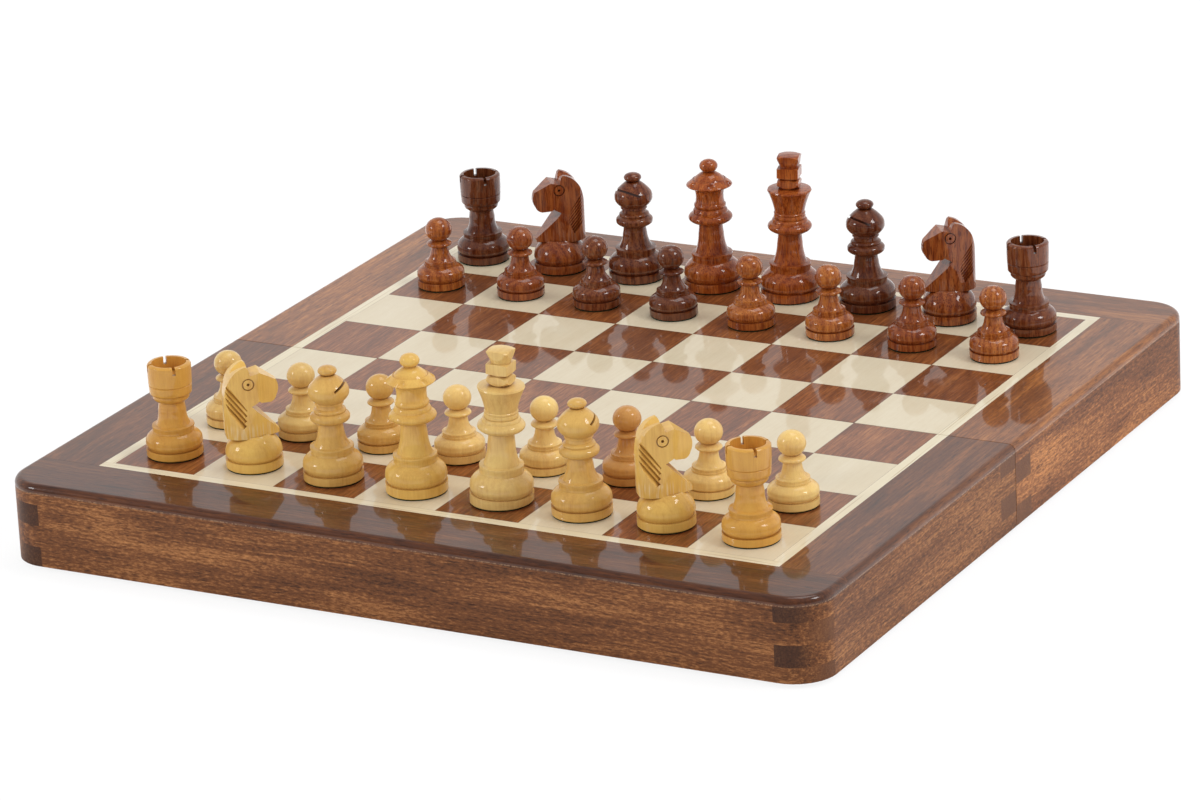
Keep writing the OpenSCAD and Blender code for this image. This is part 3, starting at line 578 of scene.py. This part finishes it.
dressHalves(metalFinish("satin brass"), "hinge_leaves", "hinge_screws")
dress(["hinge_pins"], metalFinish("pin steel"))
dressHalves(metalFinish("nickel plate"), "magnets")
print("metal done")


# Felt inside

felt = {
    "green": tint(26, 82, 54),
    "fibreShare": 0.6, "cloudShare": 0.4,
    "deeper": 0.55, "paler": 1.5,
    "sheen": 0.35,
    "relief": 0.0003, "reliefShare": 0.7,
}


def feltFinish(name, colour):
    # Pressed wool: short fibres in every direction, slightly mottled
    finish, shader, place = newFinish(name)
    fibre = place.noise(3.2, 4, 0.75, 1.2)
    cloud = place.noise(0.12, 3, 0.6)
    deep = tuple(c * felt["deeper"] for c in colour[:3]) + (1,)
    light = tuple(min(1, c * felt["paler"] + 0.004) for c in colour[:3]) + (1,)
    shade = fibre * felt["fibreShare"] + cloud * felt["cloudShare"]
    shade = shade.colours((0.32, deep), (0.5, colour), (0.7, light))
    plug(shader, Base_Color=shade, Roughness=0.95, Specular_IOR_Level=0.15, Sheen_Weight=felt["sheen"],
         Sheen_Roughness=0.5, Normal=bumped(fibre, felt["relief"], felt["reliefShare"]))
    return finish


tray = {
    "columns": 8,
    "innerX": 137.5,
    "innerFront": 139.5,
    "innerSeam": 12.15,
    "rib": 8.0,
    "tallCell": 58.0,
    "pawnCell": 32.0,
    "low": 2.6,
    "high": 23.6,
    "gap": 0.3,
    "step": 2.4,  # how finely the felt is divided
    "round": 1.6,  # how softly the felt turns over an edge
    "sink": 0.12,  # how unevenly the felt lies
    "sinkRate": 0.16,
    "seed": 4.0,
}

lining = {
    "top": 24.6,
    "cutsX": 110,
    "cutsY": 52,
    "inset": 0.05,
    "clear": 0.02,  # over the tray
    "wave": 0.22,  # how unevenly its lower side hangs
    "waveRate": 0.09,
}


def placed(name, form, finish):
    mesh = bpy.data.meshes.new(name)
    form.to_mesh(mesh)
    form.free()
    mesh.materials.append(finish)
    for face in mesh.polygons:
        face.use_smooth = True
    piece = bpy.data.objects.new(name, mesh)
    bpy.context.scene.collection.objects.link(piece)
    return piece


def softBlock(form, low, high):
    # A felt-covered block: finely divided, edges turned softly, faces sunk a little here and there
    size = [high[i] - low[i] for i in range(3)]
    cuts = [max(2, round(s / tray["step"])) for s in size]
    middle = [(high[i] + low[i]) / 2 for i in range(3)]
    radius = min(tray["round"], min(size) * 0.3)
    seen = {}

    def at(i, j, k):
        key = (i, j, k)
        if key not in seen:
            p = Vector([low[a] + size[a] * n / cuts[a] for a, n in enumerate(key)])
            core = Vector([min(max(p[a], low[a] + radius), high[a] - radius) for a in range(3)])
            out = p - core
            if out.length > 1e-6 and sum(abs(v) > 1e-6 for v in out) > 1:
                p = core + out.normalized() * radius
            inward = Vector(middle) - p
            for a in range(3):
                if key[a] in (0, cuts[a]) or abs(out[a]) > 1e-6:
                    spot = p * tray["sinkRate"] + Vector((tray["seed"], 0, a * 7.0))
                    rough = 0.5 + 0.5 * noise.noise(spot)
                    p[a] += math.copysign(min(1, max(0, rough)) * tray["sink"], inward[a])
            seen[key] = form.verts.new(p * mm)
        return seen[key]

    for axis in range(3):
        b, c = [a for a in range(3) if a != axis]
        for end in (0, cuts[axis]):
            for m in range(cuts[b]):
                for n in range(cuts[c]):
                    corners = []
                    for dm, dn in ((0, 0), (1, 0), (1, 1), (0, 1)):
                        key = [0, 0, 0]
                        key[axis], key[b], key[c] = end, m + dm, n + dn
                        corners.append(at(*key))
                    form.faces.new(corners)


def feltTray(side):
    t = tray
    rail = (t["innerFront"] - t["innerSeam"] - t["tallCell"] - t["pawnCell"]) / 3
    pitch = (2 * t["innerX"] - t["rib"]) / t["columns"]
    tallLow = -t["innerFront"] + rail
    tallHigh = tallLow + t["tallCell"]
    pawnLow = tallHigh + rail
    pawnHigh = pawnLow + t["pawnCell"]
    blocks = [(-t["innerX"], -t["innerFront"], t["innerX"], tallLow),
              (-t["innerX"], tallHigh, t["innerX"], pawnLow),
              (-t["innerX"], pawnHigh, t["innerX"], -t["innerSeam"])]
    for low, high in ((tallLow, tallHigh), (pawnLow, pawnHigh)):
        for number in range(t["columns"] + 1):
            x = -t["innerX"] + number * pitch
            blocks.append((x, low + t["gap"], x + t["rib"], high - t["gap"]))
    form = bmesh.new()
    for x0, y0, x1, y1 in blocks:
        if side == "rear":
            x0, y0, x1, y1 = -x1, -y1, -x0, -y0
        softBlock(form, (x0, y0, t["low"]), (x1, y1, t["high"]))
    bmesh.ops.recalc_face_normals(form, faces=form.faces)
    piece = placed(side + "FeltTray", form, feltGreen)
    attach(piece, side + "_half")
    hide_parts(side + "_tray")


def feltLining(side):
    turn = 1 if side == "front" else -1
    form = bmesh.new()
    y0, y1 = sorted((-turn * tray["innerFront"], -turn * tray["innerSeam"]))
    x1 = tray["innerX"]
    across, along, inset = lining["cutsX"], lining["cutsY"], lining["inset"]
    rows = []
    for level in (0, 1):
        grid = []
        for i in range(across + 1):
            line = []
            for j in range(along + 1):
                x = -x1 + inset + (2 * x1 - 2 * inset) * i / across
                y = y0 + inset + (y1 - y0 - 2 * inset) * j / along
                if level:
                    z = lining["top"]
                else:
                    rate = lining["waveRate"]
                    wave = 0.5 + 0.5 * noise.noise(Vector((x * rate, y * rate, tray["seed"])))
                    z = tray["high"] + lining["clear"] + lining["wave"] * min(1, max(0, wave))
                line.append(form.verts.new(Vector((x, y, z)) * mm))
            grid.append(line)
        rows.append(grid)
    for grid in rows:
        for i in range(across):
            for j in range(along):
                form.faces.new((grid[i][j], grid[i + 1][j], grid[i + 1][j + 1], grid[i][j + 1]))
    low, high = rows
    for i in range(across):
        for j in (0, along):
            form.faces.new((low[i][j], low[i + 1][j], high[i + 1][j], high[i][j]))
    for j in range(along):
        for i in (0, across):
            form.faces.new((low[i][j], low[i][j + 1], high[i][j + 1], high[i][j]))
    bmesh.ops.recalc_face_normals(form, faces=form.faces)
    piece = placed(side + "FeltLining", form, feltGreen)
    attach(piece, side + "_half")
    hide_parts(side + "_lining")
    (y1 - y0) * mm
    side + "_panel"


feltGreen = feltFinish("green felt", felt["green"])
for side in ("front", "rear"):
    feltTray(side)
    feltLining(side)
print("felt done")


# Men

men = {
    "rank": {"a": "rook", "b": "knight", "c": "bishop", "d": "queen",
             "e": "king", "f": "bishop", "g": "knight", "h": "rook"},
    "felt": 0.38,
    "feltColour": tint(12, 42, 31),
    "collar": 11.2,  # height of a knight's foot, where its chisel marks begin
    "roughness": 0.4,
    "relief": 0.0002,
    # Painted shade in the grooves: how far it looks for closing surfaces, in metres, and how deep it is
    "grooveReach": 0.0024, "grooveShade": 0.16,
    # Boxwood and rosewood as turned: each man is cut from one tone, and shows some of its grain. The light
    # pawns on d, e and g take the pale cream partly as painted light, which makes up for the shade that the
    # front row casts on them
    "light": {
        "amber": tint(217, 160, 74), "gold": tint(219, 172, 93), "honey": tint(232, 186, 97),
        "straw": tint(230, 192, 118), "cream": tint(243, 204, 126), "tan": tint(209, 151, 82),
        # On pawns d, e and g the cream is partly painted light
        "usual": "cream", "rook_a": "amber", "rook_h": "amber", "bishop_c": "gold", "bishop_f": "gold",
        "pawn_c": "gold", "knight_b": "honey", "knight_g": "honey", "queen_d": "honey",
        "king_e": "straw", "pawn_a": "straw", "pawn_b": "straw", "pawn_f": "tan",
        "grain": {"usual": 0.5, "bishop_c": 0.7, "pawn_a": 0.8, "rook_h": 0.6},
        "ring": 0.1, "fibre": 0.35, "cloud": 0.55,
        "shades": ((0.28, 0.72), (0.48, 1), (0.68, 1.16)),  # where along the ramp, and how deep
        "pores": (0.6, 0.72), "poreShare": 0.3, "poreShade": 0.5,
        "grooveShare": 0.6,
        "coat": 0.6, "coatRoughness": 0.09,
        "freshCut": tint(238, 214, 166),
    },
    "dark": {
        "black": tint(107, 56, 30), "brown": tint(121, 64, 34), "red": tint(147, 75, 33),
        "auburn": tint(165, 83, 32), "orange": tint(170, 95, 41),
        "usual": "red", "rook_a": "black", "bishop_f": "black", "pawn_d": "black",
        "rook_h": "brown", "bishop_c": "brown", "pawn_c": "brown", "queen_d": "auburn", "king_e": "auburn",
        "pawn_a": "orange", "pawn_e": "orange", "pawn_f": "orange", "pawn_h": "orange",
        "grain": {"usual": 0.75, "knight_g": 1.0, "pawn_c": 1.0, "bishop_c": 1.0},
        "ring": 0.16, "fibre": 0.5, "cloud": 0.36,
        "shades": ((0.33, 0.3), (0.5, 1), (0.68, 1.75)),
        "pores": (0.52, 0.62), "poreShare": 0.75, "poreShade": 0.12,
        "grooveShare": 0.85,
        "coat": 0.8, "coatRoughness": 0.08,
        "freshCut": tint(170, 116, 88),
    },
}


def shadeOf(colour, by):
    # A deeper shade turns redder, as polished wood does
    red, green, blue = colour[:3]
    return (min(1.0, red * by ** 0.58), min(1.0, green * by), min(1.0, blue * by ** 1.2), 1.0)


def turnedWood(node, wood, tone, grain, seed):
    finish, shader, place = newFinish(node + " wood")
    low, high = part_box(node)
    dice = random.Random(seed)
    middle = ((low.x + high.x) / 2 / mm, (low.y + high.y) / 2 / mm)
    local = place.shifted((-middle[0], -middle[1], -board["surface"]))
    x, y, z = local.parts()
    # Growth rings around a pith well outside the blank, a little wavy along the man
    bearing = dice.uniform(0, 2 * math.pi)
    away = dice.uniform(26, 48)
    warp = grainPlace(local, "z", 5).shifted((seed * 3.7, seed * 1.3, 0)).noise(0.12, 2, 0.5)
    dx = x + math.cos(bearing) * away
    dy = y + math.sin(bearing) * away
    spread = (dx * dx + dy * dy) ** 0.5 + z * dice.uniform(-0.12, 0.12) + warp * 5
    ring = (spread * dice.uniform(2.0, 3.2)).sine() * 0.5 + 0.5
    fibre = grainPlace(local, "z", 20).shifted((seed, 0, seed * 2.1)).noise(1.9, 3, 0.65)
    cloud = local.shifted((0, seed * 5.1, 0)).noise(0.09, 2, 0.5)
    fleck = grainPlace(local, "z", 9).shifted((0, seed, 0)).noise(2.3, 2, 0.6)
    amount = ring * wood["ring"] * grain + fibre * wood["fibre"] + cloud * wood["cloud"]
    colour = amount.colours(*((at, shadeOf(tone, by)) for at, by in wood["shades"]))
    pores = fleck.fade(*wood["pores"]) * wood["poreShare"] * grain
    colour = colour.blend(pores, shadeOf(tone, wood["poreShade"]))
    marks = local.scaled((0.1, 0.1, 1)).shifted((0, 0, seed)).noise(1.7, 2, 0.6)  # left by turning
    if "knight" in node:
        collar = men["collar"]
        cuts = local.scaled((1, 1, 0.05)).shifted((seed, 0, 0)).noise(1.25, 2, 0.5)
        chest = z.fade(collar, collar + 0.6) * (1 - z.fade(collar + 3.5, collar + 6))
        colour = colour.blend(cuts.fade(0.5, 0.62) * chest * 0.5, wood["freshCut"])
        marks = marks * (1 - z.fade(collar, collar + 0.5)) + cuts * chest
    # Painted shade: the colour darkens in the grooves and hollows, by how closed in each spot is
    bare = place.node("ShaderNodeAmbientOcclusion", {"samples": 6, "only_local": True},
                      {"Distance": men["grooveReach"]}, output=1)
    paintedGrooveShade = (1 - bare).fade(0.2, 0.7) * wood["grooveShare"]
    colour = colour.blend(paintedGrooveShade, shadeOf(tone, men["grooveShade"]))
    # The felt under the foot is one with the man
    overFelt = z.fade(men["felt"] - 0.02, men["felt"] + 0.01)
    fuzz = local.noise(3.5, 3, 0.7, 1.0)
    fuzz = fuzz.colours((0.3, shadeOf(men["feltColour"], 0.5)), (0.7, shadeOf(men["feltColour"], 1.5)))
    colour = colour.blend(1 - overFelt, fuzz)
    ripple = local.noise(0.45, 3, 0.6)
    height = fibre * 0.3 + ripple * 0.6 + marks * 0.45 + (1 - pores) * 0.25
    plug(shader, Base_Color=colour, Roughness=(1 - overFelt) * 0.5 + men["roughness"],
         Coat_Weight=overFelt * wood["coat"], Coat_Roughness=wood["coatRoughness"], Coat_IOR=1.5,
         Specular_IOR_Level=0.05, Normal=bumped(height, men["relief"]))
    return finish


def dressMen():
    seed = 1
    for side in ("light", "dark"):
        wood = men[side]
        for file, kind in men["rank"].items():
            for man in (kind, "pawn"):
                name = man + "_" + file
                tone = wood[wood.get(name, wood["usual"])]
                grain = wood["grain"].get(name, wood["grain"]["usual"])
                node = side + "_" + name
                dress([node], turnedWood(node, wood, tone, grain, seed))
                seed += 1


dressMen()
print("men done")


# Edges that read as smooth

edges = {
    "men": 36,  # degrees between faces, over which an edge stays sharp
    "box": 34,
    "join": 0.000002,
}


def easedEdges():
    # Joins a solid's faces where they meet and shades it smooth, apart from its real edges
    group = bpy.data.node_groups.new("eased edges", "GeometryNodeTree")
    for end in ("INPUT", "OUTPUT"):
        group.interface.new_socket("Geometry", in_out=end, socket_type="NodeSocketGeometry")
    wire = Wire(group)
    shape = wire.node("NodeGroupInput")
    shape = wire.node("GeometryNodeRemoveAttribute", inputs={"Geometry": shape, "Name": "custom_normal"})
    shape = wire.node("GeometryNodeMergeByDistance", inputs={"Geometry": shape, "Distance": edges["join"]})
    shape = wire.node("GeometryNodeSetShadeSmooth", {"domain": "FACE"},
                      {"Geometry": shape, "Shade Smooth": True})
    corner = wire.node("GeometryNodeInputMeshEdgeAngle").over(math.radians(edges["men"]))
    shape = wire.node("GeometryNodeSetShadeSmooth", {"domain": "EDGE"},
                      {"Geometry": shape, "Selection": corner, "Shade Smooth": False})
    group.links.new(shape.socket, group.nodes.new("NodeGroupOutput").inputs[0])
    return group


def easeShading():
    eased = easedEdges()
    for name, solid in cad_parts.items():
        if name.split("_")[0] in ("light", "dark"):
            solid.modifiers.new("eased edges", "NODES").node_group = eased
            even = solid.modifiers.new("even normals", "WEIGHTED_NORMAL")
            even.keep_sharp = True
        else:
            for face in solid.data.polygons:
                face.use_smooth = True
            solid.data.set_sharp_from_angle(angle=math.radians(edges["box"]))


easeShading()
print("edges eased")

bpy.context.scene.view_settings.view_transform = "Standard"
